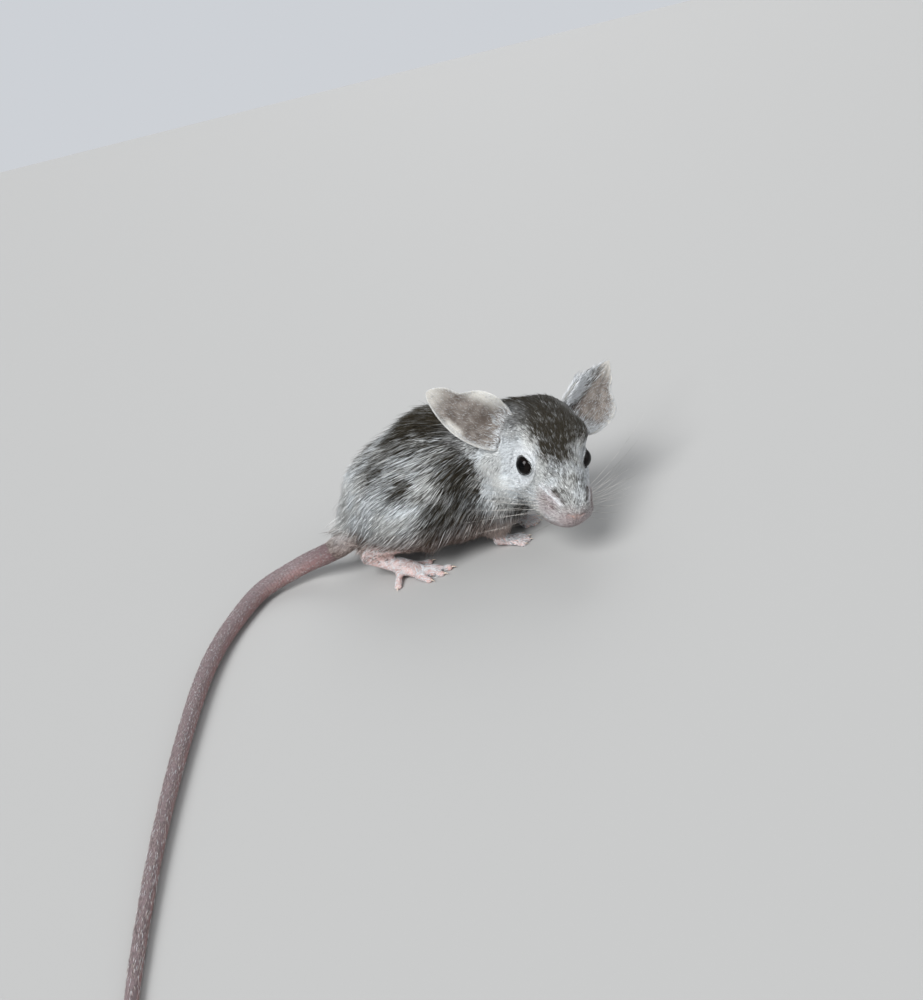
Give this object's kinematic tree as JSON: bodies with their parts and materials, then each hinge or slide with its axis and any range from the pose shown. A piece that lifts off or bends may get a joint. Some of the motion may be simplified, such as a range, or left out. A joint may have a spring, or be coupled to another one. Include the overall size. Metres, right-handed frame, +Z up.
{
  "type": "crouching mouse",
  "caption": "Life-size young mouse, crouched on its feet with the head turned to its right, large ears, and the long bare tail laid out on the floor.",
  "frame": {"origin": "middle of the bounding box, on the floor", "axes": "+Z up; +X along the back from rump to shoulders; +Y to the animal's left; the head turns and the tail lies towards -Y"},
  "size_m": [0.0792, 0.1082, 0.0305],
  "materials": {
    "coat": "short soft grey fur, silver and near-black patches",
    "ear": "thin, almost bare skin, matt",
    "tail": "fine scale rings, slightly shiny",
    "foot": "bare pink skin, matt",
    "eye": "wet, mirror-bright black"
  },
  "bodies": {
    "root": {"head": "coat", "neck": "coat", "chest": "coat", "midriff": "coat", "rump": "coat", "thigh_right": "coat", "thigh_left": "coat", "shank_right": "coat", "shank_left": "coat", "hind_foot_right": "foot", "hind_foot_left": "foot", "upper_arm_right": "coat", "upper_arm_left": "coat", "forearm_right": "coat", "forearm_left": "coat", "fore_foot_right": "foot", "fore_foot_left": "foot", "ear_right": "ear", "ear_left": "ear", "eye_right": "eye", "eye_left": "eye", "tail_1": "tail", "tail_2": "tail", "tail_3": "tail", "tail_4": "tail"}
  },
  "joints": []
}
